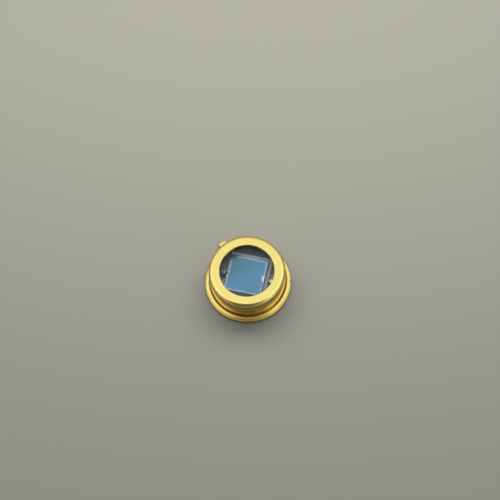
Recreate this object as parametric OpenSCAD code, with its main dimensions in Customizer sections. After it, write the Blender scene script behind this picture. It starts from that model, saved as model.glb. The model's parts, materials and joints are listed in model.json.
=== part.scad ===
// Silicon photodiode in a low round metal can with a flat glass window and two leads.
// The origin is the centre of the seating plane, the underside of the header.
// +Z points out of the window, and the leads stand on the X axis, the anode at -X.
// Sizes are worked out from the inside: chip, submount, posts, platform, cap, flange.

/* [Chip] */
// Side of the square active area
active_w = 3.6; // [3:0.05:4.2]
// Width of the metal contact frame around the active area
frame_w = 0.17; // [0.1:0.01:0.25]
// Bare silicon outside the contact frame
chip_margin = 0.06; // [0.03:0.01:0.12]
// Thickness of the silicon
chip_t = 0.28; // [0.2:0.02:0.4]
// Distance of the chip from the axis, towards the anode lead
chip_shift = 0.15; // [0:0.01:0.25]
// Thickness of the contact metal
film_t = 0.02; // [0.01:0.005:0.03]
// How far the bond pads reach into the active area
pad_reach = 0.09; // [0.04:0.01:0.15]
// Length of the anode's bond pad along the chip's edge
anode_pad_l = 0.28; // [0.2:0.02:0.4]
// Length of the cathode's bond pad along the chip's edge
cathode_pad_l = 0.46; // [0.3:0.02:0.6]
// Break in the contact frame on each side of the anode's pad
pad_gap = 0.04; // [0.02:0.01:0.08]

/* [Submount] */
// Ceramic that shows beside the chip, on the anode's side
submount_side = 0.07; // [0.06:0.01:0.2]
// Ceramic that shows in front of the chip
submount_front = 0.08; // [0.06:0.01:0.6]
// Ceramic that shows behind the chip
submount_back = 0.42; // [0.06:0.01:0.6]
// Thickness of the ceramic plate
submount_t = 0.58; // [0.25:0.01:0.7]
// Gap between a post and the notch that clears it
notch_gap = 0.13; // [0.08:0.01:0.2]
// Thickness of the adhesive under the chip and under the plate
attach_t = 0.02; // [0.01:0.005:0.04]
// How far the adhesive is squeezed out past the piece that it holds
attach_spread = 0.05; // [0.02:0.01:0.06]

/* [Leads] */
// Diameter of a plated lead
lead_d = 0.45; // [0.4:0.01:0.5]
// Plating on the lead's bare wire, which the glass grips
plating_t = 0.005; // [0.002:0.001:0.01]
// Length of the leads below the seating plane
lead_l = 4; // [2:0.5:20]
// Radius on the ends of the leads
lead_end_r = 0.07; // [0.03:0.01:0.12]
// Gap between the chip's edge and the anode's post
post_gap = 0.135; // [0.1:0.005:0.3]
// Depth of the posts' ends below the chip's face
post_drop = 0.2; // [0.1:0.02:0.3]

/* [Bond wires] */
// Diameter of a bond wire
wire_d = 0.05; // [0.04:0.005:0.06]
// Rise of a wire's loop above the chip's face
loop_h = 0.22; // [0.15:0.01:0.35]
// Length of the flattened foot at each end
foot_l = 0.13; // [0.1:0.01:0.16]
// Height of a foot's section, as a share of the round wire's
foot_press = 0.55; // [0.4:0.05:0.8]

/* [Header] */
// Height of the platform above the seating plane
platform_h = 0.85; // [0.7:0.05:1.2]
// Platform that shows beyond the ceramic plate's corners
platform_margin = 0.29; // [0.15:0.01:0.5]
// Radius on the platform's and the flange's edges
header_edge_r = 0.05; // [0.02:0.01:0.08]
// Thickness of the header's flange
flange_t = 0.28; // [0.2:0.02:0.4]
// Header flange that shows outside the cap's rim
flange_lip = 0.15; // [0.1:0.01:0.3]
// Width of the index tab
tab_w = 0.8; // [0.6:0.02:1]
// Reach of the index tab beyond the flange
tab_l = 0.85; // [0.6:0.05:1.2]
// Radius of the index tab's corners
tab_corner_r = 0.12; // [0.05:0.01:0.25]
// Direction of the index tab from +X
tab_angle = 135; // [90:1:180]
// Width of the nick in the flange's edge
nick_w = 0.22; // [0.1:0.02:0.4]
// Direction of the nick from +X
nick_angle = 12.5; // [0:0.5:90]

/* [Glass seals] */
// Diameter of the glass beads around the leads
bead_d = 1.1; // [0.9:0.05:1.3]
// Least metal between a bead and the platform's edge
bead_wall = 0.3; // [0.2:0.05:0.6]
// Depth of the hollow in a bead's ends
meniscus = 0.05; // [0.02:0.01:0.1]

/* [Cap] */
// Thickness of the drawn metal
cap_wall = 0.25; // [0.18:0.01:0.3]
// Gap between the platform and the inside of the cap
platform_gap = 0.16; // [0.08:0.01:0.3]
// Free height between the chip and the window
headroom = 0.68; // [0.5:0.02:1.2]
// Width of the flat ring around the window, from the cap's side
ring_w = 1.16; // [0.9:0.01:1.4]
// Radius of the cap's upper edge
cap_corner_r = 0.4; // [0.28:0.01:0.5]
// Radius of the turn from the cap's side into its rim
cap_root_r = 0.2; // [0.1:0.01:0.25]
// Width of the cap's welded rim, from the cap's side
weld_rim_w = 0.42; // [0.35:0.01:0.6]
// Radius on the edges of the welded rim
rim_edge_r = 0.1; // [0.02:0.01:0.12]
// Radius on the upper edge of the window's opening
opening_edge_r = 0.07; // [0.02:0.01:0.12]

/* [Window] */
// Thickness of the glass disc
window_t = 0.6; // [0.4:0.05:0.8]
// Radius on the glass disc's edges
window_edge_r = 0.05; // [0.02:0.01:0.1]
// Solder glass between the disc and the cap's ring
seal_t = 0.04; // [0.02:0.01:0.08]
// Width of the solder glass around the disc
seal_w = 0.3; // [0.2:0.02:0.4]
// Height of the glass disc that stands clear of the solder glass
seal_clear = 0.15; // [0.1:0.01:0.3]

/* [Hidden] */
$fn = 96;

// Overlap that makes a cut or a joint of two shapes clean
bite = 0.1;

// Chip and submount
chip_w = active_w + 2 * (frame_w + chip_margin);
chip_edge_x = chip_w / 2 + chip_shift;
submount_w = 2 * (chip_edge_x + submount_side);
submount_d = chip_w + submount_front + submount_back;
submount_y = (submount_back - submount_front) / 2;

// Heights of the stack on the platform
submount_z = platform_h + attach_t;
die_attach_z = submount_z + submount_t;
chip_z = die_attach_z + attach_t;
chip_top = chip_z + chip_t;
film_top = chip_top + film_t;

// Leads and posts
lead_r = lead_d / 2;
bare_r = lead_r - plating_t;
lead_x = chip_edge_x + post_gap + lead_r;
post_top = chip_top - post_drop;
bead_r = bead_d / 2;

// Header and cap, from the platform outwards
submount_reach = norm([submount_w / 2, chip_w / 2 + max(submount_front, submount_back)]);
platform_r = max(submount_reach + platform_margin, lead_x + bead_r + bead_wall);
cap_in_r = platform_r + platform_gap;
cap_r = cap_in_r + cap_wall;
cap_rim_r = cap_r + weld_rim_w;
flange_r = cap_rim_r + flange_lip;
aperture_r = cap_r - ring_w;

// Heights under the cap's ring
window_z = chip_top + headroom;
window_top = window_z + window_t;
ring_under_z = window_top + seal_t;
cap_top = ring_under_z + cap_wall;
cap_in_corner_r = max(cap_corner_r - cap_wall, opening_edge_r);
window_r = cap_in_r - seal_w;

// Bond pads, along X from the chip's centre
frame_out = active_w / 2 + frame_w;
pad_w = frame_w + pad_reach;
pad_x = frame_out - pad_w / 2;

// Bond wires
wire_r = wire_d / 2;
wire_sides = 8;
loop_steps = 18;
// Shares of the span at which a loop's two control points stand, from the pad and from the post
loop_lead = 0.15;
loop_drop = 0.05;

// Half section of a disc: radius r, height h, upper edge rounded by e
module section_upper(r, h, e) {
    square([r, h - e]);
    square([r - e, h]);
    translate([r - e, h - e]) circle(e);
}

// Half section of a disc with both edges rounded
module section_both(r, h, e) {
    translate([0, e]) square([r, h - 2 * e]);
    square([r - e, h]);
    translate([r - e, h - e]) circle(e);
    translate([r - e, e]) circle(e);
}

// Flat plate with round corners, centred on the axis
module round_plate(w, d, h, r) {
    translate([-w / 2, r - d / 2, 0]) cube([w, d - 2 * r, h]);
    translate([r - w / 2, -d / 2, 0]) cube([w - 2 * r, d, h]);
    for (sx = [-1, 1], sy = [-1, 1])
        translate([sx * (w / 2 - r), sy * (d / 2 - r), 0]) cylinder(h = h, r = r);
}

// A child at each lead, the anode's first
module at_leads() {
    for (side = [-1, 1])
        translate([side * lead_x, 0, 0]) children();
}

// Space that the two posts need in the plates beside them
module post_notches(z, h) {
    at_leads() translate([0, 0, z - bite]) cylinder(h = h + 2 * bite, r = lead_r + notch_gap);
}

// Turned header: flange, platform, index tab, two bead holes and the nick
module header() {
    color("goldenrod") difference() {
        union() {
            rotate_extrude() section_both(flange_r, flange_t, header_edge_r);
            rotate_extrude() section_upper(platform_r, platform_h, header_edge_r);
            rotate([0, 0, tab_angle]) index_tab();
        }
        at_leads() translate([0, 0, -bite]) cylinder(h = platform_h + 2 * bite, r = bead_r);
        rotate([0, 0, nick_angle]) translate([flange_r, 0, -bite])
            cylinder(h = flange_t + 2 * bite, r = nick_w / 2);
    }
}

// Tab that marks the anode: it grows out of the flange along X
module index_tab() {
    tab_in = cap_rim_r - 2 * tab_corner_r;
    tab_out = flange_r + tab_l;
    translate([(tab_in + tab_out) / 2, 0, 0])
        round_plate(tab_out - tab_in, tab_w, flange_t, tab_corner_r);
}

// Half section of the space inside the cap
module cavity_section(top) {
    translate([0, -bite]) section_upper(cap_in_r, top + bite, cap_in_corner_r);
}

// Half section of the drawn cap, standing on the header's flange
module cap_section() {
    difference() {
        union() {
            section_upper(cap_r, cap_top - flange_t, cap_corner_r);
            section_both(cap_rim_r, cap_wall, rim_edge_r);
            difference() {
                translate([0, cap_wall - rim_edge_r])
                    square([cap_r + cap_root_r, cap_root_r + rim_edge_r]);
                translate([cap_r + cap_root_r, cap_wall + cap_root_r]) circle(cap_root_r);
            }
        }
        cavity_section(ring_under_z - flange_t);
        square([aperture_r, cap_top]);
        translate([0, cap_top - flange_t - opening_edge_r]) difference() {
            square([aperture_r + opening_edge_r, opening_edge_r + bite]);
            translate([aperture_r + opening_edge_r, 0]) circle(opening_edge_r);
        }
    }
}

// Drawn cap with the window's opening, a rounded upper edge and a welded rim
module cap() {
    color("gold") translate([0, 0, flange_t]) rotate_extrude() cap_section();
}

// Flat glass disc under the cap's ring
module window() {
    color("lightblue", 0.35) translate([0, 0, window_z])
        rotate_extrude() section_both(window_r, window_t, window_edge_r);
}

// Solder glass that fills the corner between the disc and the cap
module window_seal() {
    color("dimgray") rotate_extrude() difference() {
        cavity_section(ring_under_z);
        translate([0, -2 * bite]) square([cap_in_r + bite, window_z + seal_clear + 2 * bite]);
        translate([0, window_z]) section_both(window_r, window_t, window_edge_r);
        square([aperture_r + opening_edge_r, ring_under_z + bite]);
    }
}

// Plated lead: round-ended below, bare in the glass, a bonding post above
module lead() {
    color("gold") {
        mirror([0, 0, 1]) rotate_extrude() section_upper(lead_r, lead_l, lead_end_r);
        cylinder(h = platform_h, r = bare_r);
        translate([0, 0, platform_h])
            rotate_extrude() section_upper(lead_r, post_top - platform_h, lead_end_r);
    }
}

module anode_lead() {
    translate([-lead_x, 0, 0]) lead();
}

module cathode_lead() {
    translate([lead_x, 0, 0]) lead();
}

// Glass bead between a lead and its hole, hollowed at both ends
module bead() {
    bead_w = bead_r - bare_r;
    hollow_r = (pow(bead_w / 2, 2) + pow(meniscus, 2)) / (2 * meniscus);
    color("darkslategray") rotate_extrude() difference() {
        translate([bare_r, 0]) square([bead_w, platform_h]);
        translate([bare_r + bead_w / 2, platform_h + hollow_r - meniscus]) circle(hollow_r);
        translate([bare_r + bead_w / 2, meniscus - hollow_r]) circle(hollow_r);
        translate([0, platform_h - plating_t]) square([lead_r, platform_h]);
        translate([0, plating_t - platform_h]) square([lead_r, platform_h]);
    }
}

module anode_bead() {
    translate([-lead_x, 0, 0]) bead();
}

module cathode_bead() {
    translate([lead_x, 0, 0]) bead();
}

// Scribed ceramic plate that insulates the chip, notched around the posts
module submount() {
    color("lightgray") translate([0, 0, submount_z]) difference() {
        translate([-submount_w / 2, submount_y - submount_d / 2, 0])
            cube([submount_w, submount_d, submount_t]);
        post_notches(0, submount_t);
    }
}

// Adhesive between the platform and the ceramic plate, clear of the beads
module submount_attach() {
    color("silver") translate([0, 0, platform_h]) difference() {
        translate([0, submount_y, 0])
            round_plate(submount_w, submount_d + 2 * attach_spread, attach_t, attach_spread);
        at_leads() translate([0, 0, -bite]) cylinder(h = attach_t + 2 * bite, r = bead_r);
    }
}

// Adhesive between the ceramic plate and the chip
module die_attach() {
    attach_w = chip_w + 2 * attach_spread;
    color("silver") translate([0, 0, die_attach_z]) difference() {
        translate([-chip_shift, 0, 0]) round_plate(attach_w, attach_w, attach_t, attach_spread);
        post_notches(0, attach_t);
    }
}

// Sawn silicon die: its upper face inside the frame is the active area
module silicon_chip() {
    color("steelblue") translate([-chip_shift - chip_w / 2, -chip_w / 2, chip_z])
        cube([chip_w, chip_w, chip_t]);
}

// Square ring of contact metal with the cathode's pad, broken around the anode's pad
module cathode_frame() {
    break_l = anode_pad_l + 2 * pad_gap;
    color("lightsteelblue") translate([-chip_shift, 0, chip_top]) {
        difference() {
            translate([-frame_out, -frame_out, 0]) cube([2 * frame_out, 2 * frame_out, film_t]);
            translate([-active_w / 2, -active_w / 2, -bite])
                cube([active_w, active_w, film_t + 2 * bite]);
            translate([-frame_out - bite, -break_l / 2, -bite])
                cube([frame_w + 2 * bite, break_l, film_t + 2 * bite]);
        }
        translate([pad_x, 0, 0]) bond_pad(cathode_pad_l);
    }
}

module anode_pad() {
    color("lightsteelblue") translate([-chip_shift - pad_x, 0, chip_top]) bond_pad(anode_pad_l);
}

// Bond pad with round corners, centred on its wire's foot
module bond_pad(length) {
    round_plate(pad_w, length, film_t, pad_gap);
}

// Point on the loop of a wire from p to q in the XZ plane, for u from 0 to 1: a cubic curve
// with both control points lifted so that its middle, 3/4 of lift less 1/8 of the fall, is loop_h above p
function loop_point(p, q, u) =
    let (
        lift = (loop_h + (p[1] - q[1]) / 8) * 4 / 3,
        span = q[0] - p[0],
        rise = [p[0] + loop_lead * span, p[1] + lift],
        fall = [q[0] - loop_drop * span, p[1] + lift],
        v = 1 - u
    )
    v * v * v * p + 3 * v * v * u * rise + 3 * v * u * u * fall + u * u * u * q;

// Centre line of a wire from the pad's foot, over the loop, to the post's foot
function wire_line(pad, post) =
    let (
        half_foot = [sign(post[0] - pad[0]) * foot_l / 2, 0],
        seat = [0, foot_press * wire_r * cos(180 / wire_sides)],
        from = pad + half_foot + seat,
        to = post - half_foot + seat
    )
    [
        pad - half_foot + seat,
        for (i = [0 : loop_steps]) loop_point(from, to, i / loop_steps),
        post + half_foot + seat
    ];

// Ring of a wire's section at its point c, square to the direction d, pressed flat by k
function wire_ring(c, d, k) =
    let (
        along = d / norm(d),
        across = [-along[1], along[0]]
    )
    [
        for (s = [0 : wire_sides - 1])
            let (
                a = 360 * (s + 0.5) / wire_sides,
                h = k * wire_r * cos(a),
                w = wire_r / k * sin(a)
            )
            [c[0] + h * across[0], w, c[1] + h * across[1]]
    ];

// Round wire swept along its line, pressed flat at both feet
module bond_wire(pad, post) {
    line = wire_line(pad, post);
    last = len(line) - 1;
    rings = [
        for (i = [0 : last])
            let (
                foot = i < 2 || i > last - 2,
                d = i < 2 ? line[1] - line[0]
                    : i > last - 2 ? line[last] - line[last - 1]
                    : line[i + 1] - line[i - 1]
            )
            wire_ring(line[i], d, foot ? foot_press : 1)
    ];
    sides = [
        for (i = [0 : last - 1], s = [0 : wire_sides - 1])
            let (
                a = i * wire_sides + s,
                b = i * wire_sides + (s + 1) % wire_sides
            )
            each [[a, b, a + wire_sides], [b, b + wire_sides, a + wire_sides]]
    ];
    start = [for (s = [wire_sides - 1 : -1 : 0]) s];
    end = [for (s = [0 : wire_sides - 1]) last * wire_sides + s];
    color("whitesmoke") polyhedron(
        points = [for (ring = rings) each ring],
        faces = concat(sides, [start, end])
    );
}

module anode_wire() {
    bond_wire([-chip_shift - pad_x, film_top], [-lead_x, post_top]);
}

module cathode_wire() {
    bond_wire([pad_x - chip_shift, film_top], [lead_x, post_top]);
}

header();
cap();
window();
window_seal();
anode_lead();
cathode_lead();
anode_bead();
cathode_bead();
submount();
submount_attach();
die_attach();
silicon_chip();
cathode_frame();
anode_pad();
anode_wire();
cathode_wire();
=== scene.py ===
"""Silicon photodiode in a gold-plated can: its finishes, its fine round surfaces and a plain studio.

The packed part is the frame. Every new piece is worked out in metres, in that frame, and stands where its
CAD node stands. Run as a script, it builds the pieces in order and leaves the scene ready to render.
"""

import json
import math

import bmesh
import bpy
import numpy as np
from bpy.props import FloatProperty, FloatVectorProperty, IntProperty, PointerProperty
from mathutils import Matrix, Vector


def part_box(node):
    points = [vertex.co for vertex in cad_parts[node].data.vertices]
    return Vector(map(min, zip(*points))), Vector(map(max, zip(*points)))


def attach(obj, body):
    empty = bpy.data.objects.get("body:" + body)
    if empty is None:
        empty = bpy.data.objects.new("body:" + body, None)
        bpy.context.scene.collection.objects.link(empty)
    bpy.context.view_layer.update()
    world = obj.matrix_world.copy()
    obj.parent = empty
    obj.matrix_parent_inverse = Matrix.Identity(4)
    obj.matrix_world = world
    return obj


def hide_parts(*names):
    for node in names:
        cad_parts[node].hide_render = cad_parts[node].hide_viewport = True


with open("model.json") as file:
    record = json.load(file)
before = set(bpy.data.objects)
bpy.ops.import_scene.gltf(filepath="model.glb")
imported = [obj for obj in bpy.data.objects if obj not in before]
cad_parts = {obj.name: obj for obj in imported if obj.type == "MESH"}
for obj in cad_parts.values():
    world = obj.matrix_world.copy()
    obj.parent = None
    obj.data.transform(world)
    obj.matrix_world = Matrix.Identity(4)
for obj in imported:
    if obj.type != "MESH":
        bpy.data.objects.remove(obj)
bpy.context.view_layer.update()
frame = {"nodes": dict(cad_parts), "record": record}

bl_info = {
    "name": "Photodiode can",
    "version": (1, 0, 0),
    "blender": (4, 5, 0),
    "location": "View3D > Sidebar > Photodiode",
    "description": "Builds the visible surfaces and finishes of a photodiode in a round metal can",
    "category": "Object",
}

MM = 0.001
BODY = "root"

# Gap that keeps a glass or bead surface off the metal that it touches
HAIRLINE = 0.001 * MM
# Points closer than this are one point of a mesh
WELD = 1e-4 * MM
# Edges that turn by more than this stay crisp
CRISP = math.radians(40)
# Steps along a rounded edge and along a straight stretch of a profile
ARC_STEPS = 8
LINE_STEPS = 10
# Extra angles along each side and half the tip of the index tab, and across the nick
TAB_STEPS = 16
NICK_STEPS = 21
# Digits to which two angles are compared, and the smallest number that a length is divided by
ANGLE_DIGITS = 9
TINY = 1e-9
# Steps from a bead hole to its plate's edge, and points on the line between the plate's halves
PLATE_STEPS = 4
PLATE_MIDDLE = 31
# Points along a wire's loop, along each of its feet and around it
LOOP_POINTS = 49
FOOT_POINTS = 8
WIRE_SEGMENTS = 20
# Shares of a wire's span at which its loop's control points stand, from the pad and from the post
RISE_SHARE = 0.15
FALL_SHARE = 0.05
# Share of the loop along which a pressed foot becomes round again
FREE_SHARE = 0.12
# Facets around the floor
FLOOR_SEGMENTS = 96

# Painted light on the plating: 1 is a painted highlight in paler gold, -1 is painted shade in browner gold
PAINTED_LIGHT = {
    "flange_lower_edge": -1.0,
    "flange_upper_edge": -0.6,
    "rim_edges": 1.0,
    "root": -1.0,
    "bend": 0.5,
    "bend_foot": -0.6,
    "opening_edge": -0.4,
    "lead_end": 1.0,
    "anode_post": -0.75,
    "cathode_post": 1.0,
}
# How much rougher the inside of the can is drawn than the plating, and how much smoother the plating is
# where a highlight is painted
INSIDE_ROUGHER = 0.2
HIGHLIGHT_SMOOTHER = 0.06
# Refractive indices: the window's is lower than plain glass has, to stand for a coat that mirrors less
WINDOW_IOR = 1.35
SEAL_IOR = 1.52
ALUMINA_IOR = 1.76
# Shares of a sealing glass's colour in its dark and its pale clouds
CLOUDS = (0.7, 1.3)
# Width of the bare strip under the contact frame's outer edge
COAT_MARGIN = 0.01 * MM
# Distances from the chip's back left corner between which the painted reflection on the active area fades
# out
REFLECTION_WHOLE, REFLECTION_GONE = 1.2 * MM, 3.3 * MM
# Inset of the burnished pad's middle, and distances from it between which the metal becomes plain
PAD_INSET = 0.1 * MM
PAD_BRIGHT, PAD_PLAIN = 0.25 * MM, 0.4 * MM
# Spread of aluminium's roughness
MARKS_SPREAD = 0.1

# The camera was fitted to a square picture this many pixels wide: its focal length in pixels, the place in
# the picture of a point on the can's axis, and that point's height
PICTURE_W = 500
FOCAL = 1500
CAN_PIXEL = (247.98, 280.48)
CAN_POINT_H = 0.5 * MM

# Numbers of a colour Mix node's sockets, whose names repeat
MIX_SHARE, MIX_A, MIX_B, MIX_RESULT = 0, 6, 7, 2


def linear(code):
    """Linear red, green and blue of an sRGB hex colour."""
    srgb = np.array([int(code[i:i + 2], 16) for i in (1, 3, 5)]) / 255
    return tuple(np.where(srgb <= 0.04045, srgb / 12.92, ((srgb + 0.055) / 1.055) ** 2.4))


def from_frame():
    """Sizes that the CAD nodes' boxes and the record's mounts give, in metres."""
    mounts = {m["name"]: m["dims"] for m in frame["record"]["mounts"]}
    header_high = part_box("header")[1]
    cap_low, cap_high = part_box("cap")
    seal_low, seal_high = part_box("window_seal")
    window_low, window_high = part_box("window")
    lead_low, lead_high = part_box("cathode_lead")
    bead_low, bead_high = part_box("cathode_bead")
    return {
        "flange_r": header_high.x,
        "flange_t": cap_low.z,
        "platform_h": header_high.z,
        "rim_r": cap_high.x,
        "cap_top": cap_high.z,
        "cap_r": mounts["can_barrel"]["r_mm"] * MM,
        "ring_under": seal_high.z,
        "cap_in_r": seal_high.x,
        "seal_bottom": seal_low.z,
        "window_r": window_high.x,
        "window_bottom": window_low.z,
        "window_top": window_high.z,
        "lead_x": mounts["lead_pair"]["pcd_mm"] * MM / 2,
        "lead_r": mounts["lead_pair"]["stud_r_mm"] * MM,
        "lead_bottom": lead_low.z,
        "post_top": lead_high.z,
        "bead_r": (bead_high.x - bead_low.x) / 2,
    }


CAD = from_frame()


def length(name, description, default):
    """A size in metres for a property group."""
    return FloatProperty(
        name=name, description=description, default=default, precision=6, subtype="DISTANCE", unit="LENGTH"
    )


def number(name, description, default, low, high):
    """A plain number between two limits for a property group."""
    return FloatProperty(name=name, description=description, default=default, min=low, max=high)


def colour(name, description, code):
    """A colour for a property group, from its sRGB hex code."""
    return FloatVectorProperty(
        name=name, description=description, default=linear(code), min=0, max=1, size=3, subtype="COLOR"
    )


def angle(name, description, degrees):
    """An angle for a property group, given in degrees."""
    return FloatProperty(
        name=name, description=description, default=math.radians(degrees), subtype="ANGLE", unit="ROTATION"
    )


class CanSizes(bpy.types.PropertyGroup):
    """Sizes of the can's fine round surfaces."""

    segments: IntProperty(name="Segments", description="Facets around the can", default=288, min=48)
    platform_r: length("Platform radius", "Radius of the header's platform", 3.616 * MM)
    header_edge: length("Header edge", "Radius on the header's edges", 0.13 * MM)
    tab_angle: angle("Tab angle", "Direction of the index tab", 135)
    tab_w: length("Tab width", "Width of the index tab", 0.8 * MM)
    tab_reach: length("Tab reach", "Reach of the tab from the axis", 5.446 * MM)
    tab_corner: length("Tab corner", "Radius of the tab's corners", 0.12 * MM)
    nick_angle: angle("Nick angle", "Direction of the nick in the flange", 12.5)
    nick_r: length("Nick radius", "Radius of the nick in the flange", 0.11 * MM)
    aperture_r: length("Aperture radius", "Radius of the window's opening", 2.866 * MM)
    rim_t: length("Rim thickness", "Thickness of the cap's welded rim", 0.25 * MM)
    corner_r: length("Upper edge", "Radius of the cap's upper edge", 0.4 * MM)
    corner_in_r: length("Upper edge inside", "Radius of the cap's upper edge inside", 0.15 * MM)
    # Painted shade: from this height up, the cap's side is drawn browner towards its upper edge
    shade_from: length("Deep gold from", "Height from which the cap's side darkens", 2.4 * MM)
    root_r: length("Root", "Radius of the turn from the cap's side into its rim", 0.2 * MM)
    rim_edge: length("Rim edge", "Radius on the edges of the cap's rim", 0.1 * MM)
    cap_edge: length("Opening edge", "Radius on the edge of the window's opening", 0.07 * MM)
    window_edge: length("Window edge", "Radius on the glass disc's edges", 0.05 * MM)


class LeadSizes(bpy.types.PropertyGroup):
    """Sizes of the leads, their glass beads and the bond wires."""

    segments: IntProperty(name="Segments", description="Facets around a lead", default=64, min=16)
    plating_t: length("Plating", "Plating that ends where the glass grips the lead", 0.005 * MM)
    end_r: length("End radius", "Radius on the ends of the leads", 0.07 * MM)
    meniscus: length("Meniscus", "Depth of the hollow in a bead's ends", 0.05 * MM)
    wire_r: length("Wire radius", "Radius of a bond wire", 0.025 * MM)
    loop_h: length("Loop height", "Rise of a wire's loop above its pad", 0.22 * MM)
    foot_l: length("Foot length", "Length of a wire's flattened foot", 0.13 * MM)
    foot_press: number("Foot press", "Height of a foot beside the round wire's", 0.55, 0.3, 1)


class Finishes(bpy.types.PropertyGroup):
    """Colours of the materials."""

    gold: colour("Gold plate", "Gold plating seen straight on", "#EECF79")
    # Painted light on the plating: a paler gold for painted highlights and a browner gold for painted shade
    gold_highlight: colour("Gold plate, edges", "Gold plating that handling has polished", "#F6DC8A")
    gold_shade: colour("Tarnish", "Tarnished gold plating", "#8C6420")
    gold_deep: colour("Gold plate, deep", "Gold plating where the deposit is thicker", "#EAC96E")
    # Painted shade: the inside of the can is drawn in this dull grey-brown instead of gold, for the dim
    # inside of the can
    inside: colour("Inside of the can", "Bare alloy inside the can", "#9A8C78")
    glass: colour("Window glass", "Faint tint of the window", "#FBFDFC")
    solder: colour("Solder glass", "Fired solder glass", "#3A3835")
    bead: colour("Bead glass", "Dark sealing glass", "#20241F")
    alumina: colour("Alumina", "Fired ceramic", "#F2EFEA")
    alumina_grain: colour("Alumina grain", "Darker grains of the ceramic", "#D6D2CC")
    adhesive: colour("Silver adhesive", "Cured silver-filled resin", "#9C9C9A")
    silicon: colour("Active area", "Coated silicon of the active area", "#528BA6")
    # Painted reflection: the active area is drawn darker and greener towards the chip's back left corner
    silicon_reflection: colour("Active area, corner", "Coated silicon where the coat is thinner", "#457685")
    silicon_bare: colour("Bare silicon", "Sawn and bare silicon", "#5A5D63")
    contact: colour("Contact metal", "Thin aluminium on the chip, under the coat", "#8C9298")
    burnished: colour("Bond pad", "Contact metal that bonding burnished", "#C5CACE")
    wire: colour("Bond wire", "Drawn aluminium wire", "#DADCDD")


class Studio(bpy.types.PropertyGroup):
    """Floor, light and camera."""

    floor: colour("Floor", "Plain pale floor", "#7C7A6F")
    horizon: colour("Horizon", "Surround at the horizon", "#848179")
    horizon_low: angle("Horizon, lower edge", "Height from which the horizon fades into the walls", 4)
    horizon_high: angle("Horizon, upper edge", "Height at which the horizon has faded into the walls", 11)
    walls: colour("Walls", "Walls between the horizon and the ceiling", "#9E988C")
    ceiling: colour("Ceiling", "Bright ceiling", "#C9D8E4")
    ceiling_low: angle("Ceiling, lower edge", "Height at which the walls start to brighten", 36)
    ceiling_high: angle("Ceiling, upper edge", "Height from which the ceiling is fully bright", 60)
    flag: colour("Flag", "Dark flag on the camera's side", "#5B5751")
    flag_turn: angle("Flag turn", "Turn of both flags from the camera's direction", -15)
    flag_height: angle("Flag height", "Height of the flag's middle above the horizon", 48)
    flag_full: angle("Flag, dark", "Angle from the flag's middle that is fully dark", 22)
    flag_fade: angle("Flag, edge", "Angle from the flag's middle where it ends", 46)
    foot: colour("Foot flag", "Darker flag below the other, down to the horizon", "#45413B")
    foot_height: angle("Foot flag height", "Height of the lower flag's middle above the horizon", 8)
    foot_full: angle("Foot flag, dark", "Angle from the lower flag's middle that is fully dark", 10)
    foot_fade: angle("Foot flag, edge", "Angle from the lower flag's middle where it ends", 30)
    box: colour("Soft boxes", "Two soft boxes behind the can, and the fill light", "#DCEDFF")
    box_turn: angle("Soft box turn", "Turn of each soft box from straight behind the can", 70)
    box_height: angle("Soft box height", "Height of each soft box's middle above the horizon", 58)
    box_full: angle("Soft box, bright", "Angle from a soft box's middle that is fully bright", 14)
    box_fade: angle("Soft box, edge", "Angle from a soft box's middle where it ends", 30)
    fill_turn: angle("Fill turn", "Turn of the low fill light from the camera's direction", 45)
    fill_height: angle("Fill height", "Height of the fill light's middle above the horizon", 20)
    fill_full: angle("Fill, bright", "Angle from the fill light's middle that is fully bright", 6)
    fill_fade: angle("Fill, edge", "Angle from the fill light's middle where it ends", 18)
    glow: number("Surround level", "Strength of the surround's light", 1.8, 0, 10)
    key_level: number("Key level", "Light of the key lamp on the floor", 1.5, 0, 10)
    key_height: angle("Key height", "Height of the key lamp above the horizon", 52)
    key_turn: angle("Key turn", "Turn of the key lamp from straight behind the can", -8)
    key_distance: length("Key distance", "Distance of the key lamp from the can", 80 * MM)
    key_w: length("Key width", "Width of the key lamp", 140 * MM)
    key_h: length("Key depth", "Depth of the key lamp", 42 * MM)
    floor_size: length("Floor size", "Radius of the floor", 115 * MM)
    floor_drop: length("Floor drop", "Gap between the flange and the floor", 0.06 * MM)
    floor_plain: length("Floor, plain", "Radius at which the floor starts to fade out", 45 * MM)
    azimuth: angle("Azimuth", "Direction of the camera", 18.8)
    elevation: angle("Elevation", "Height of the camera above the horizon", 67.13)
    roll: angle("Roll", "Turn of the camera about its own axis", -6.16)
    distance: length("Distance", "Distance of the camera from the can", 159 * MM)


def arc(centre, radius, start, end, weight=0.0, painted_light=0.0, before=0.0):
    """Rows of a profile on a circle: centre plus radius times (cos a, sin a), for a from start to end in
    degrees. The last column is the wear there: polish times the sine of pi times the share passed, plus
    before, which is whole at the start and fades out along the arc."""
    share = np.linspace(0, 1, ARC_STEPS + 1)
    a = np.radians(start + share * (end - start))
    return np.column_stack((
        np.full_like(a, weight),
        centre[0] + radius * np.cos(a),
        centre[1] + radius * np.sin(a),
        painted_light * np.sin(np.pi * share) + before * (1 - share),
    ))


def corner(radius, height, weight=0.0):
    """One row of a profile: a crisp corner."""
    return np.array([[weight, radius, height, 0.0]])


def profile(*stretches, closed=False):
    """Joins arcs and corners by straight lines. A line's points stand at shares (1 - cos t) / 2 of it, for
    t from 0 to pi, so that they crowd at its ends and the shading of a flat stays flat."""
    share = (1 - np.cos(np.linspace(0, np.pi, LINE_STEPS + 1)[1:-1, None])) / 2
    following = stretches[1:] + (stretches[:1] if closed else ())
    rows = []
    for here, there in zip(stretches, following):
        rows += [here, here[-1] + share * (there[0] - here[-1])]
    return np.concatenate(rows if closed else rows + [stretches[-1]])


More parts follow.
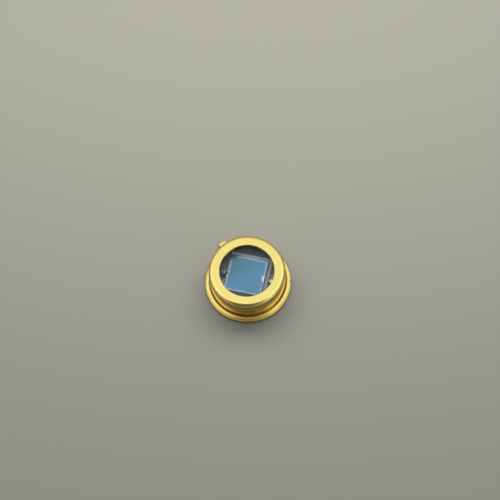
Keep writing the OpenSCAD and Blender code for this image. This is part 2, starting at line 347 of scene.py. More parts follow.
def turned(rows, angles, outline=0.0, centre=(0.0, 0.0)):
    """Surface of a profile turned about an upright axis: at the angle t a row stands at
    (r cos t, r sin t, z) from centre, with r its radius plus its weight times the outline there."""
    weight, radius, height, painted_light = rows.T[:, :, None]
    r = radius + weight * outline + 0 * angles
    points = np.stack((centre[0] + r * np.cos(angles), centre[1] + r * np.sin(angles), height + 0 * r), -1)
    return points, painted_light + 0 * r


def grid_faces(rows, columns, closed_rows=False):
    """Four-cornered faces between the neighbours of a grid of points. Its columns close on themselves, and
    its rows do where told."""
    i = np.arange(rows if closed_rows else rows - 1)[:, None]
    j = np.arange(columns)
    i_next, j_next = (i + 1) % rows, (j + 1) % columns
    corners = (i * columns + j, i * columns + j_next, i_next * columns + j_next, i_next * columns + j)
    return np.stack(np.broadcast_arrays(*corners), -1).reshape(-1, 4)


def patch(points, painted_light, closed_rows=False):
    """A grid of points with its polish and its faces."""
    return points, painted_light, grid_faces(*points.shape[:2], closed_rows)


def around(count):
    """Angles all the way around, without repeating the first."""
    return np.linspace(0, 2 * np.pi, count, endpoint=False)


def make_mesh(name, patches):
    """One closed mesh from patches, with the polish of each point kept as an attribute."""
    points, painted_light, faces, start = [], [], [], 0
    for grid, shine, quads in patches:
        points.append(grid.reshape(-1, 3))
        painted_light.append(np.broadcast_to(shine, grid.shape[:2]).ravel())
        faces.append(quads + start)
        start += len(points[-1])
    points, painted_light, faces = np.concatenate(points), np.concatenate(painted_light), np.concatenate(faces)
    mesh = bpy.data.meshes.new(name)
    mesh.from_pydata(points, [], faces)
    mesh.attributes.new("painted_light", "FLOAT", "POINT").data.foreach_set("value", painted_light.astype(np.float32))
    weld(mesh)
    return mesh


def weld(mesh):
    """Merges the points that patches share. The faces are turned outwards by the sign of the enclosed
    volume, the sum of a . (b x c) / 6."""
    work = bmesh.new()
    work.from_mesh(mesh)
    bmesh.ops.remove_doubles(work, verts=work.verts, dist=WELD)
    bmesh.ops.dissolve_degenerate(work, dist=WELD, edges=work.edges)
    bmesh.ops.recalc_face_normals(work, faces=work.faces)
    if work.calc_volume(signed=True) < 0:
        bmesh.ops.reverse_faces(work, faces=work.faces)
    work.to_mesh(mesh)
    work.free()
    mesh.shade_smooth()
    mesh.set_sharp_from_angle(angle=CRISP)


def add_piece(node, patches, material):
    """A piece that stands for a CAD node, with its finish, its body and its slot."""
    piece = bpy.data.objects.new(node + "_surface", make_mesh(node, patches))
    bpy.context.scene.collection.objects.link(piece)
    piece.data.materials.append(material)
    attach(piece, BODY)
    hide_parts(node)


def finish_node(node, material):
    """Gives a CAD node that stays in view its material."""
    data = frame["nodes"][node].data
    data.materials.clear()
    data.materials.append(material)


def add_node(tree, kind, settings=None, inputs=None):
    """Adds a node with its own settings, and sets or links its inputs by name or number."""
    node = tree.nodes.new(kind)
    for name, value in (settings or {}).items():
        setattr(node, name, value)
    for name, value in (inputs or {}).items():
        if isinstance(value, bpy.types.NodeSocket):
            tree.links.new(value, node.inputs[name])
        else:
            node.inputs[name].default_value = value
    return node


def rgba(value):
    """A colour with full alpha. A socket is passed on."""
    return value if isinstance(value, bpy.types.NodeSocket) else (*value, 1.0)


def mix(tree, share, first, second):
    """Colour that goes from the first to the second as the share goes from 0 to 1."""
    node = add_node(tree, "ShaderNodeMix", {"data_type": "RGBA"}, {
        MIX_SHARE: share, MIX_A: rgba(first), MIX_B: rgba(second),
    })
    return node.outputs[MIX_RESULT]


def ranged(tree, value, start, end, low=0.0, high=1.0, kind="LINEAR"):
    """Number that goes from low to high as the value goes from start to end, and stays between them."""
    node = add_node(tree, "ShaderNodeMapRange", {"interpolation_type": kind}, {
        "Value": value, "From Min": start, "From Max": end, "To Min": low, "To Max": high,
    })
    return node.outputs["Result"]


def reckon(tree, operation, *values):
    """Result of one step of arithmetic."""
    node = add_node(tree, "ShaderNodeMath", {"operation": operation}, dict(enumerate(values)))
    return node.outputs["Value"]


def measure(tree, operation, *vectors):
    """Length, distance or dot product of vectors."""
    node = add_node(tree, "ShaderNodeVectorMath", {"operation": operation}, dict(enumerate(vectors)))
    return node.outputs["Value"]


def object_place(tree):
    """Place of a point in the frame."""
    return add_node(tree, "ShaderNodeTexCoord").outputs["Object"]


def noise(tree, place, size, detail, roughness=0.5):
    """Fractal noise from 0 to 1, with features this many millimetres apart."""
    node = add_node(tree, "ShaderNodeTexNoise", None, {
        "Vector": place, "Scale": 1 / (size * MM), "Detail": detail, "Roughness": roughness,
    })
    return node.outputs["Fac"]


def grains(tree, place, size):
    """Distance from the middle of the nearest grain, for grains this many millimetres apart."""
    node = add_node(tree, "ShaderNodeTexVoronoi", None, {"Vector": place, "Scale": 1 / (size * MM)})
    return node.outputs["Distance"]


def relief(tree, height, strength, depth):
    """Normal of a surface with this relief, its depth in millimetres."""
    node = add_node(tree, "ShaderNodeBump", None, {
        "Strength": strength, "Distance": depth * MM, "Height": height,
    })
    return node.outputs["Normal"]


def new_material(name):
    """An empty node material and its tree."""
    material = bpy.data.materials.new(name)
    material.use_nodes = True
    material.node_tree.nodes.clear()
    return material, material.node_tree


def principled(tree, tint, roughness, **inputs):
    """Makes a shader with this tint, roughness and other inputs the material's surface."""
    shader = add_node(tree, "ShaderNodeBsdfPrincipled", None, {
        "Base Color": rgba(tint), "Roughness": roughness, **inputs,
    })
    add_node(tree, "ShaderNodeOutputMaterial", None, {"Surface": shader.outputs["BSDF"]})


def gold_plating(name="matte_gold_plating", cavity=False):
    """Matte gold plating over nickel, on pressed and turned iron-nickel alloy. The deposit is fine-grained,
    so it gives a soft, blurred shine, a little patchy in depth. It is brighter where handling polished it
    and browner where it tarnished. With cavity, the inside of the can is bare, dull alloy."""
    if name in bpy.data.materials:
        return bpy.data.materials[name]
    finish = bpy.context.scene.photodiode_finishes
    material, tree = new_material(name)
    place = object_place(tree)
    painted_light = add_node(tree, "ShaderNodeAttribute", {"attribute_name": "painted_light"}).outputs["Fac"]
    depth = noise(tree, place, size=1.3, detail=3.0, roughness=0.55)
    # The real grain is a few micrometres: it is drawn ten times coarser so that it shows
    grain = noise(tree, place, size=0.05, detail=4.0, roughness=0.6)
    tint = mix(tree, depth, finish.gold_deep, finish.gold)
    # Painted highlight in paler gold where the painted-light attribute is above 0, painted shade in browner
    # gold where it is below 0
    tint = mix(tree, painted_light, tint, finish.gold_highlight)
    tint = mix(tree, reckon(tree, "MULTIPLY", painted_light, -1.0), tint, finish.gold_shade)
    roughness = ranged(tree, grain, start=0.25, end=0.75, low=0.13, high=0.22)
    # Painted shade: the inside of the can is drawn dull grey-brown and rougher
    if cavity:
        inside = inside_can(tree, place)
        tint = mix(tree, inside, tint, finish.inside)
        roughness = reckon(tree, "MULTIPLY_ADD", inside, INSIDE_ROUGHER, roughness)
    else:
        roughness = reckon(tree, "MULTIPLY_ADD", painted_light, -HIGHLIGHT_SMOOTHER, roughness)
    principled(tree, tint, roughness, Metallic=1.0, Normal=relief(tree, grain, strength=0.35, depth=0.004))
    return material


def inside_can(tree, place):
    """1 where a point is nearer the axis than the cap's inner wall, above the flange and below the cap's
    ring, and 0 elsewhere."""
    parts = add_node(tree, "ShaderNodeSeparateXYZ", None, {"Vector": place}).outputs
    flat = add_node(tree, "ShaderNodeCombineXYZ", None, {"X": parts["X"], "Y": parts["Y"]})
    radius = measure(tree, "LENGTH", flat.outputs["Vector"])
    near = reckon(tree, "LESS_THAN", radius, CAD["cap_in_r"] + HAIRLINE)
    above = reckon(tree, "GREATER_THAN", parts["Z"], CAD["flange_t"] + HAIRLINE)
    below = reckon(tree, "LESS_THAN", parts["Z"], CAD["ring_under"] + HAIRLINE)
    return reckon(tree, "MULTIPLY", reckon(tree, "MULTIPLY", near, above), below)


def window_glass():
    """Polished flat glass, clear and solid: it bends light, and mirrors it as coated glass does."""
    finish = bpy.context.scene.photodiode_finishes
    material, tree = new_material("polished_window_glass")
    principled(tree, finish.glass, roughness=0.0, IOR=WINDOW_IOR, **{"Transmission Weight": 1.0})
    return material


def fired_glass(name, base, size, roughness):
    """Opaque sealing glass, fired until it flowed: smooth and glossy, faintly clouded by fine crystals."""
    material, tree = new_material(name)
    clouds = noise(tree, object_place(tree), size, detail=4.0)
    dark, pale = ([level * c for c in base] for level in CLOUDS)
    principled(tree, mix(tree, clouds, dark, pale), roughness, IOR=SEAL_IOR)
    return material


def alumina():
    """Fired alumina ceramic: matte and pale, with a speckle of grains."""
    finish = bpy.context.scene.photodiode_finishes
    material, tree = new_material("alumina_ceramic")
    grain = grains(tree, object_place(tree), size=0.05)
    tint = mix(tree, ranged(tree, grain, start=0.2, end=0.9), finish.alumina, finish.alumina_grain)
    normal = relief(tree, grain, strength=0.4, depth=0.006)
    principled(tree, tint, roughness=0.7, IOR=ALUMINA_IOR, Normal=normal)
    return material


def silver_adhesive():
    """Cured resin full of silver flakes: grey, rough and glittering."""
    finish = bpy.context.scene.photodiode_finishes
    material, tree = new_material("silver_filled_resin")
    flakes = grains(tree, object_place(tree), size=0.03)
    roughness = ranged(tree, flakes, 0, 1, low=0.35, high=0.75)
    normal = relief(tree, flakes, strength=0.5, depth=0.005)
    principled(tree, finish.adhesive, roughness, Metallic=0.8, Normal=normal)
    return material


def coated_silicon():
    """Polished silicon. A quarter-wave coat makes the active area blue, half mirror and half matt, and
    greener towards the back left corner, where the coat is thinner. The sawn sides and the margin outside
    the contact frame are bare grey."""
    finish = bpy.context.scene.photodiode_finishes
    material, tree = new_material("coated_silicon")
    place = object_place(tree)
    low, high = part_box("cathode_frame")
    centre = (low + high) / 2
    offset = add_node(tree, "ShaderNodeVectorMath", {"operation": "SUBTRACT"}, {0: place, 1: centre})
    away = add_node(tree, "ShaderNodeVectorMath", {"operation": "ABSOLUTE"}, {0: offset.outputs["Vector"]})
    sides = add_node(tree, "ShaderNodeSeparateXYZ", None, {"Vector": away.outputs["Vector"]}).outputs
    farthest = reckon(tree, "MAXIMUM", sides["X"], sides["Y"])
    bare = reckon(tree, "GREATER_THAN", farthest, (high.y - low.y) / 2 - COAT_MARGIN)
    # Painted reflection: darker and greener near the back left corner, fading out farther away
    from_corner = measure(tree, "DISTANCE", place, Vector((low.x, high.y, high.z)))
    thickness = ranged(tree, from_corner, REFLECTION_WHOLE, REFLECTION_GONE)
    coat = mix(tree, thickness, finish.silicon_reflection, finish.silicon)
    tint = mix(tree, bare, coat, finish.silicon_bare)
    principled(tree, tint, ranged(tree, bare, 0, 1, low=0.12, high=0.35), Metallic=0.5)
    return material


def bright_aluminium(name, base, size, roughness, pad=None):
    """Evaporated or drawn aluminium: bright and slightly uneven, with fine marks. With pad, it is brighter
    round that point, where bonding burnished it."""
    material, tree = new_material(name)
    place = object_place(tree)
    tint = base
    if pad is not None:
        away = ranged(tree, measure(tree, "DISTANCE", place, pad), PAD_BRIGHT, PAD_PLAIN)
        tint = mix(tree, away, bpy.context.scene.photodiode_finishes.burnished, base)
    marks = noise(tree, place, size, detail=3.0)
    uneven = ranged(tree, marks, 0, 1, low=roughness - MARKS_SPREAD, high=roughness + MARKS_SPREAD)
    principled(tree, tint, uneven, Metallic=1.0)
    return material


def flange_outline(sizes):
    """Angles around the header and the flange's reach at each. The flange is a circle. The index tab adds a
    rectangle with round corners: a ray leaves it through the tip at reach / cos d, through a side at
    half width / sin d, or through a corner's circle. The nick takes away the inside of a small circle."""
    flange_r = CAD["flange_r"]
    half = sizes.tab_w / 2
    side = np.arcsin(half / np.linspace(flange_r, sizes.tab_reach - sizes.tab_corner, TAB_STEPS))
    front = np.linspace(0, side[-1], TAB_STEPS)
    nick_span = sizes.nick_r / flange_r
    nick = nick_span * np.cos(np.linspace(0, np.pi, NICK_STEPS))
    angles = np.concatenate((
        around(sizes.segments),
        sizes.tab_angle + np.concatenate((side, -side, front, -front)),
        sizes.nick_angle + nick,
    ))
    angles = np.unique(np.round(angles % (2 * np.pi), ANGLE_DIGITS))

    from_tab = (angles - sizes.tab_angle + np.pi) % (2 * np.pi) - np.pi
    cos, sin = np.cos(from_tab), np.abs(np.sin(from_tab))
    reach = np.minimum(sizes.tab_reach / np.maximum(cos, TINY), half / np.maximum(sin, TINY))
    tip_x, tip_y = sizes.tab_reach - sizes.tab_corner, half - sizes.tab_corner
    along = tip_x * cos + tip_y * sin
    square = along**2 - tip_x**2 - tip_y**2 + sizes.tab_corner**2
    rounded = along + np.sqrt(np.maximum(square, 0))
    at_corner = (reach * cos > tip_x) & (reach * sin > tip_y)
    tab = np.where(at_corner, rounded, reach) * (cos > 0)

    from_nick = (angles - sizes.nick_angle + np.pi) % (2 * np.pi) - np.pi
    depth = np.sqrt(np.maximum(sizes.nick_r**2 - (flange_r * np.sin(from_nick)) ** 2, 0))
    nicked = flange_r * np.cos(from_nick) - depth
    inside = np.abs(from_nick) < nick_span
    return angles, np.where(inside, nicked, np.maximum(flange_r, tab))


def drilled_plate(height, reach, angles):
    """Flat disc with the two bead holes, as two half discs. In each, a line runs from every point of the
    edge straight towards the hole's centre and ends on the hole. Gives the grids and the holes' edges."""
    edge = reach * np.stack((np.cos(angles), np.sin(angles)), -1)
    share = np.linspace(0, 1, PLATE_STEPS + 1)[:, None, None]
    grids, rims = [], []
    for side in (-1, 1):
        half = edge[side * edge[:, 0] >= -WELD]
        half = half[np.argsort(np.arctan2(half[:, 1], side * half[:, 0]))]
        across = np.linspace(half[-1, 1], half[0, 1], PLATE_MIDDLE + 2)[1:-1]
        border = np.concatenate((half, np.stack((0 * across, across), -1)))
        centre = np.array([side * CAD["lead_x"], 0.0])
        towards = border - centre
        hole = centre + CAD["bead_r"] * towards / np.linalg.norm(towards, axis=1)[:, None]
        flat = hole + share * (border - hole)
        grids.append(np.concatenate((flat, np.full(flat.shape[:2] + (1,), height)), -1))
        rims.append(hole)
    return grids, rims


class PHOTODIODE_OT_header(bpy.types.Operator):
    """Builds the turned header with its flange, index tab, nick, platform and bead holes"""

    bl_idname = "photodiode.header"
    bl_label = "Header"

    def execute(self, context):
        sizes = context.scene.photodiode_can
        thick, high, edge = CAD["flange_t"], CAD["platform_h"], sizes.header_edge
        drilled_r = sizes.platform_r - 2 * edge
        angles, reach = flange_outline(sizes)
        rows = profile(
            corner(drilled_r, 0),
            # Painted shade on the flange's lower and upper edges
            arc((-edge, edge), edge, -90, 0, weight=1, painted_light=PAINTED_LIGHT["flange_lower_edge"]),
            arc((-edge, thick - edge), edge, 0, 90, weight=1, painted_light=PAINTED_LIGHT["flange_upper_edge"]),
            corner(sizes.platform_r, thick),
            arc((sizes.platform_r - edge, high - edge), edge, 0, 90),
            corner(drilled_r, high),
        )
        patches = [patch(*turned(rows, angles, reach))]
        below, rims = drilled_plate(0, drilled_r, angles)
        above, _ = drilled_plate(high, drilled_r, angles)
        bores = [np.stack([np.insert(rim, 2, level, 1) for level in (0, high)]) for rim in rims]
        patches += [patch(grid, 0) for grid in below + above + bores]
        add_piece("header", patches, gold_plating("gold_plating_outside", cavity=True))
        return {"FINISHED"}


class PHOTODIODE_OT_cap(bpy.types.Operator):
    """Builds the drawn cap: its section is turned about the can's axis"""

    bl_idname = "photodiode.cap"
    bl_label = "Cap"

    def execute(self, context):
        sizes = context.scene.photodiode_can
        foot, top, under = CAD["flange_t"], CAD["cap_top"], CAD["ring_under"]
        out_r, in_r, rim_r = CAD["cap_r"], CAD["cap_in_r"], CAD["rim_r"]
        edge, rim, bend, bend_in, root = (
            sizes.cap_edge, sizes.rim_edge, sizes.corner_r, sizes.corner_in_r, sizes.root_r
        )
        rim_top = foot + sizes.rim_t
        rows = profile(
            corner(in_r, foot),
            # Painted highlights on the rim's edges and the upper edge's bend; painted shade in the root, at
            # the foot of the bend and on the opening's edge
            arc((rim_r - rim, foot + rim), rim, -90, 0, painted_light=PAINTED_LIGHT["rim_edges"]),
            arc((rim_r - rim, rim_top - rim), rim, 0, 90, painted_light=PAINTED_LIGHT["rim_edges"]),
            arc((out_r + root, rim_top + root), root, 270, 180, painted_light=PAINTED_LIGHT["root"]),
            corner(out_r, sizes.shade_from),
            arc((out_r - bend, top - bend), bend, 0, 90, painted_light=PAINTED_LIGHT["bend"], before=PAINTED_LIGHT["bend_foot"]),
            arc((sizes.aperture_r + edge, top - edge), edge, 90, 180, painted_light=PAINTED_LIGHT["opening_edge"]),
            corner(sizes.aperture_r, under),
            arc((in_r - bend_in, under - bend_in), bend_in, 90, 0),
            closed=True,
        )
        patches = [patch(*turned(rows, around(sizes.segments)), closed_rows=True)]
        add_piece("cap", patches, gold_plating("gold_plating_outside", cavity=True))
        return {"FINISHED"}


class PHOTODIODE_OT_window(bpy.types.Operator):
    """Builds the flat glass disc and the solder glass that holds it"""

    bl_idname = "photodiode.window"
    bl_label = "Window"

    def execute(self, context):
        sizes = context.scene.photodiode_can
        finish = context.scene.photodiode_finishes
        angles = around(sizes.segments)
        edge, bend_in = sizes.window_edge, sizes.corner_in_r
        disc_r, low, high = CAD["window_r"], CAD["window_bottom"], CAD["window_top"]
        disc = profile(
            corner(0, low),
            arc((disc_r - HAIRLINE - edge, low + edge), edge, -90, 0),
            arc((disc_r - HAIRLINE - edge, high - HAIRLINE - edge), edge, 0, 90),
            corner(0, high - HAIRLINE),
        )
        add_piece("window", [patch(*turned(disc, angles))], window_glass())

        in_r, under, bottom = CAD["cap_in_r"] - HAIRLINE, CAD["ring_under"] - HAIRLINE, CAD["seal_bottom"]
        fillet = profile(
            corner(disc_r, bottom),
            corner(in_r, bottom),
            arc((in_r - bend_in, under - bend_in), bend_in, 0, 90),
            corner(sizes.aperture_r + sizes.cap_edge, under),
            corner(sizes.aperture_r + sizes.cap_edge, high),
            arc((disc_r - edge, high - edge), edge, 90, 0),
            closed=True,
        )
        solder = fired_glass("fired_solder_glass", finish.solder, size=0.25, roughness=0.35)
        patches = [patch(*turned(fillet, angles), closed_rows=True)]
        add_piece("window_seal", patches, solder)
        return {"FINISHED"}


class PHOTODIODE_OT_leads(bpy.types.Operator):
    """Builds the two plated leads and the glass beads around them"""

    bl_idname = "photodiode.leads"
    bl_label = "Leads and beads"

    def execute(self, context):
        sizes = context.scene.photodiode_leads
        finish = context.scene.photodiode_finishes
        angles = around(sizes.segments)
        lead_r, bare_r, end = CAD["lead_r"], CAD["lead_r"] - sizes.plating_t, sizes.end_r
        low, high, top = CAD["lead_bottom"], CAD["platform_h"], CAD["post_top"]
        # Painted highlight on the rounded lower end of each lead
        rod = profile(
            corner(0, low),
            arc((lead_r - end, low + end), end, -90, 0, painted_light=PAINTED_LIGHT["lead_end"]),
            corner(lead_r, 0),
            corner(bare_r, 0),
            corner(bare_r, high),
            corner(lead_r, high),
            arc((lead_r - end, top - end), end, 0, 90),
            corner(0, top),
        )
        outer_r = CAD["bead_r"] - HAIRLINE
        inner_r = bare_r + HAIRLINE
        half_w = (outer_r - inner_r) / 2
        hollow_r = (half_w**2 + sizes.meniscus**2) / (2 * sizes.meniscus)
        swing = math.degrees(math.asin(half_w / hollow_r))
        middle = (outer_r + inner_r) / 2
        rise = hollow_r - sizes.meniscus
        bead = profile(
            arc((middle, -rise), hollow_r, 90 + swing, 90 - swing),
            arc((middle, high + rise), hollow_r, 270 + swing, 270 - swing),
            closed=True,
        )
        sealing = fired_glass("dark_sealing_glass", finish.bead, size=0.2, roughness=0.12)
        gold = gold_plating()
        for name, side in (("anode", -1), ("cathode", 1)):
            centre = (side * CAD["lead_x"], 0.0)
            points, painted_light = turned(rod, angles, centre=centre)
            # Painted shade on the anode's post, a painted highlight on the cathode's post
            painted_light = np.where(points[..., 2] > high + HAIRLINE, PAINTED_LIGHT[name + "_post"], painted_light)
            add_piece(name + "_lead", [patch(points, painted_light)], gold)
            patches = [patch(*turned(bead, angles, centre=centre), closed_rows=True)]
            add_piece(name + "_bead", patches, sealing)
        return {"FINISHED"}


class PHOTODIODE_OT_chip(bpy.types.Operator):
    """Finishes the silicon chip and its contact metal"""

    bl_idname = "photodiode.chip"
    bl_label = "Chip"

    def execute(self, context):
        finish = context.scene.photodiode_finishes
        finish_node("silicon_chip", coated_silicon())
        low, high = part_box("cathode_frame")
        pad = Vector((high.x - PAD_INSET, (low.y + high.y) / 2, high.z))
        films = {"cathode_frame": ("bonded_aluminium", pad), "anode_pad": ("evaporated_aluminium", None)}
        for node, (name, bright) in films.items():
            finish_node(node, bright_aluminium(name, finish.contact, size=0.06, roughness=0.2, pad=bright))
        return {"FINISHED"}


class PHOTODIODE_OT_submount(bpy.types.Operator):
    """Finishes the ceramic plate and the adhesive above and below it"""

    bl_idname = "photodiode.submount"
    bl_label = "Submount"

    def execute(self, context):
        finish_node("submount", alumina())
        adhesive = silver_adhesive()
        finish_node("submount_attach", adhesive)
        finish_node("die_attach", adhesive)
        return {"FINISHED"}


def wire_surface(sizes, pad_x, pad_z, post_x, post_z):
    """A round wire from a pad to a post. Its centre line is a straight foot, a cubic curve with both
    control points lifted, and a second foot. The middle of such a curve gets 3 / 4 of the lift, less an
    eighth of the step down. At each point the section is an ellipse, square to the line, of the wire's
    radius in the loop, and lower and wider by the press at the feet."""
    along = math.copysign(1, post_x - pad_x)
    seat = sizes.foot_press * sizes.wire_r
    p = np.array([pad_x + along * sizes.foot_l / 2, pad_z + seat])
    q = np.array([post_x - along * sizes.foot_l / 2, post_z + seat])
    lift = (sizes.loop_h + (p[1] - q[1]) / 8) * 4 / 3
    span = q[0] - p[0]
    rise = np.array([p[0] + RISE_SHARE * span, p[1] + lift])
    fall = np.array([q[0] - FALL_SHARE * span, p[1] + lift])
    passed = np.linspace(0, 1, LOOP_POINTS)
    u = passed[:, None]
    v = 1 - u
    loop = v**3 * p + 3 * v**2 * u * rise + 3 * v * u**2 * fall + u**3 * q
    foot = along * sizes.foot_l * np.linspace(1, 0, FOOT_POINTS + 1)[:-1, None] * np.array([1.0, 0.0])
    line = np.concatenate((p - foot, loop, q + foot[::-1]))
    heading = np.gradient(line, axis=0)
    heading /= np.linalg.norm(heading, axis=1)[:, None]
    step = np.pad(passed, FOOT_POINTS, mode="edge")
    freed = np.clip(np.minimum(step, 1 - step) / FREE_SHARE, 0, 1)
    press = sizes.foot_press + (1 - sizes.foot_press) * freed * freed * (3 - 2 * freed)
    a = around(WIRE_SEGMENTS)
    up = (press * sizes.wire_r)[:, None] * np.cos(a)
    wide = (sizes.wire_r / press)[:, None] * np.sin(a)
    ring = np.stack((
        line[:, :1] - heading[:, 1:] * up,
        wide,
        line[:, 1:] + heading[:, :1] * up,
    ), -1)
    ends = [np.repeat(row.mean(0)[None, None], len(a), 1) for row in (ring[0], ring[-1])]
    return np.concatenate((ends[0], ring, ends[1]))


class PHOTODIODE_OT_wires(bpy.types.Operator):
    """Builds the two bond wires from the pads to the posts"""

    bl_idname = "photodiode.wires"
    bl_label = "Bond wires"

    def execute(self, context):
        sizes = context.scene.photodiode_leads
        finish = context.scene.photodiode_finishes
        material = bright_aluminium("drawn_aluminium_wire", finish.wire, size=0.03, roughness=0.3)
        film_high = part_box("cathode_frame")[1]
        pad_low, pad_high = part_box("anode_pad")
        half_pad = (pad_high.x - pad_low.x) / 2
        pads = {"anode": (pad_low.x + half_pad, -1), "cathode": (film_high.x - half_pad, 1)}
        for name, (pad_x, side) in pads.items():
            points = wire_surface(sizes, pad_x, film_high.z, side * CAD["lead_x"], CAD["post_top"])
            add_piece(name + "_wire", [patch(points, 0)], material)
        return {"FINISHED"}


def floor_board():
    """Plain matte board that fades out into the surround, so that no far edge shows. It is seen through
    from below, so that the leads can be looked at."""
    studio = bpy.context.scene.photodiode_studio
    material, tree = new_material("floor_board")
    board = add_node(tree, "ShaderNodeBsdfDiffuse", None, {"Color": rgba(studio.floor)})
    clear = add_node(tree, "ShaderNodeBsdfTransparent")
    below = add_node(tree, "ShaderNodeNewGeometry").outputs["Backfacing"]
    away = measure(tree, "LENGTH", object_place(tree))
    faded = ranged(tree, away, studio.floor_plain, studio.floor_size, kind="SMOOTHSTEP")
    shader = add_node(tree, "ShaderNodeMixShader", None, {
        0: reckon(tree, "MAXIMUM", below, faded), 1: board.outputs["BSDF"], 2: clear.outputs["BSDF"],
    })
    add_node(tree, "ShaderNodeOutputMaterial", None, {"Surface": shader.outputs["Shader"]})
    return material


def aim(azimuth, elevation):
    """Unit vector towards a place on the sky, (sin a cos e, -cos a cos e, sin e): -Y is azimuth 0."""
    level = math.cos(elevation)
    return Vector((math.sin(azimuth) * level, -math.cos(azimuth) * level, math.sin(elevation)))


def add_key_lamp(studio):
    """A wide soft lamp behind the can that lights the matte surfaces and throws the soft shadow. Metal and
    glass mirror the surround instead. A small lamp gives the floor, beside a surround of strength 1,
    power * sin(height) / (pi * distance) ** 2 times the light, and so wide a lamp gives somewhat less."""
    lamp = bpy.data.lights.new("key_lamp", "AREA")
    lamp.shape = "RECTANGLE"
    lamp.size, lamp.size_y = studio.key_w, studio.key_h
    height, distance = studio.key_height, studio.key_distance
    lamp.energy = studio.key_level * (math.pi * distance) ** 2 / math.sin(height)
    holder = bpy.data.objects.new("key_lamp", lamp)
    towards = aim(studio.azimuth + math.pi + studio.key_turn, height)
    holder.location = towards * distance
    holder.rotation_euler = (-towards).to_track_quat("-Z", "Y").to_euler()
    holder.visible_camera = False
    holder.visible_glossy = False
    holder.visible_transmission = False
    bpy.context.scene.collection.objects.link(holder)


def add_world(studio):
    """Soft studio surround: a pale horizon, dim walls, a cool, bright ceiling, two soft boxes behind the
    can, a low fill light beside the camera, and two dark flags on the camera's side that give round metal
    its contrast. The sine of a direction's height fades the horizon and the ceiling into the walls, and
    the cosine of its angle from the middle of a box, a flag or the fill light fades that."""
    world = bpy.data.worlds.new("soft_studio")
    world.use_nodes = True
    tree = world.node_tree
    tree.nodes.clear()
    direction = add_node(tree, "ShaderNodeTexCoord").outputs["Generated"]
    height = add_node(tree, "ShaderNodeSeparateXYZ", None, {"Vector": direction}).outputs["Z"]

    def spot(turn, elevation, fade, full, paint):
        """Layer that is full near one direction and fades out around it."""
        middle = aim(studio.azimuth + turn, elevation)
        return measure(tree, "DOT_PRODUCT", direction, middle), math.cos(fade), math.cos(full), paint

    box = studio.box_height, studio.box_fade, studio.box_full, studio.box
    layers = (
        (height, math.sin(studio.ceiling_low), math.sin(studio.ceiling_high), studio.ceiling),
        spot(studio.flag_turn, studio.flag_height, studio.flag_fade, studio.flag_full, studio.flag),
        spot(math.pi + studio.box_turn, *box),
        spot(math.pi - studio.box_turn, *box),
        spot(studio.fill_turn, studio.fill_height, studio.fill_fade, studio.fill_full, studio.box),
        (height, math.sin(studio.horizon_high), math.sin(studio.horizon_low), studio.horizon),
        spot(studio.flag_turn, studio.foot_height, studio.foot_fade, studio.foot_full, studio.foot),
    )
    sky = studio.walls
    for value, start, full, paint in layers:
        sky = mix(tree, ranged(tree, value, start, full, kind="SMOOTHSTEP"), sky, paint)
    glow = add_node(tree, "ShaderNodeBackground", None, {"Color": sky, "Strength": studio.glow})
    add_node(tree, "ShaderNodeOutputWorld", None, {"Surface": glow.outputs["Background"]})
    bpy.context.scene.world = world


def add_camera(studio):
    """Camera that looks down on the can as the photograph does. Its aim is shifted from the can's middle by
    the pixels between that middle's place in the picture and the picture's centre."""
    az = studio.azimuth
    back = aim(az, studio.elevation)
    level = Vector((math.cos(az), math.sin(az), 0))
    upright = back.cross(level)
    right = math.cos(studio.roll) * level + math.sin(studio.roll) * upright
    up = back.cross(right)
    across, down = (pixel - PICTURE_W / 2 for pixel in CAN_PIXEL)
    shift = (up * down - right * across) * studio.distance / FOCAL
    camera = bpy.data.cameras.new("camera")
    camera.sensor_width = 36
    camera.lens = camera.sensor_width * FOCAL / PICTURE_W
    camera.clip_start, camera.clip_end = 0.01, 10
    holder = bpy.data.objects.new("camera", camera)
    place = Vector((0, 0, CAN_POINT_H)) + shift + back * studio.distance
    holder.matrix_world = Matrix.Translation(place) @ Matrix((right, up, back)).transposed().to_4x4()
    bpy.context.scene.collection.objects.link(holder)
    bpy.context.scene.camera = holder


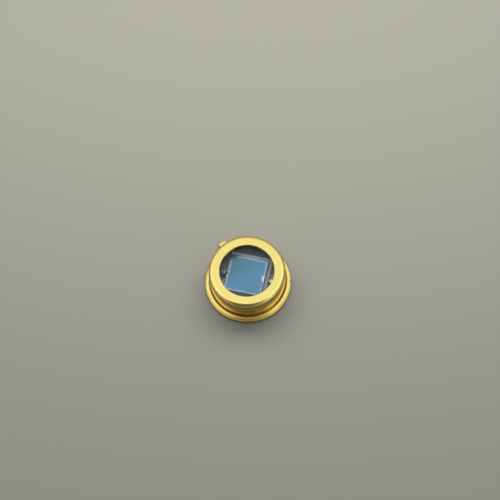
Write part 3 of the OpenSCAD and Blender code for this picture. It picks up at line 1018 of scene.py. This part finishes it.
class PHOTODIODE_OT_stage(bpy.types.Operator):
    """Builds the plain floor, the soft light and the camera"""

    bl_idname = "photodiode.stage"
    bl_label = "Stage"

    def execute(self, context):
        studio = context.scene.photodiode_studio
        rows = profile(corner(0, -studio.floor_drop), corner(studio.floor_size, -studio.floor_drop))
        disc, _ = turned(rows, around(FLOOR_SEGMENTS))
        upward = grid_faces(*disc.shape[:2])[:, ::-1]
        mesh = bpy.data.meshes.new("floor")
        mesh.from_pydata(disc.reshape(-1, 3), [], upward)
        mesh.materials.append(floor_board())
        floor = bpy.data.objects.new("floor", mesh)
        context.scene.collection.objects.link(floor)
        add_key_lamp(studio)
        add_world(studio)
        add_camera(studio)
        context.scene.view_settings.view_transform = "Standard"
        return {"FINISHED"}


OPERATORS = (
    PHOTODIODE_OT_header, PHOTODIODE_OT_cap, PHOTODIODE_OT_window, PHOTODIODE_OT_leads,
    PHOTODIODE_OT_chip, PHOTODIODE_OT_submount, PHOTODIODE_OT_wires, PHOTODIODE_OT_stage,
)


class PHOTODIODE_PT_panel(bpy.types.Panel):
    """Lists the pieces and their sizes"""

    bl_idname = "PHOTODIODE_PT_panel"
    bl_label = "Photodiode"
    bl_space_type = "VIEW_3D"
    bl_region_type = "UI"
    bl_category = "Photodiode"

    def draw(self, context):
        for operator in OPERATORS:
            self.layout.operator(operator.bl_idname)
        for group in GROUPS:
            settings = getattr(context.scene, group)
            column = self.layout.column(heading=GROUPS[group].__doc__)
            for name in GROUPS[group].__annotations__:
                column.prop(settings, name)


GROUPS = {
    "photodiode_can": CanSizes,
    "photodiode_leads": LeadSizes,
    "photodiode_finishes": Finishes,
    "photodiode_studio": Studio,
}


def register():
    for cls in (*GROUPS.values(), *OPERATORS, PHOTODIODE_PT_panel):
        bpy.utils.register_class(cls)
    for name, group in GROUPS.items():
        setattr(bpy.types.Scene, name, PointerProperty(type=group))


def unregister():
    for name in GROUPS:
        delattr(bpy.types.Scene, name)
    for cls in (PHOTODIODE_PT_panel, *reversed(OPERATORS), *reversed(GROUPS.values())):
        bpy.utils.unregister_class(cls)


def main():
    register()
    bpy.ops.photodiode.header()
    bpy.ops.photodiode.cap()
    bpy.ops.photodiode.window()
    bpy.ops.photodiode.leads()
    bpy.ops.photodiode.chip()
    bpy.ops.photodiode.submount()
    bpy.ops.photodiode.wires()
    bpy.ops.photodiode.stage()


if __name__ == "__main__":
    main()
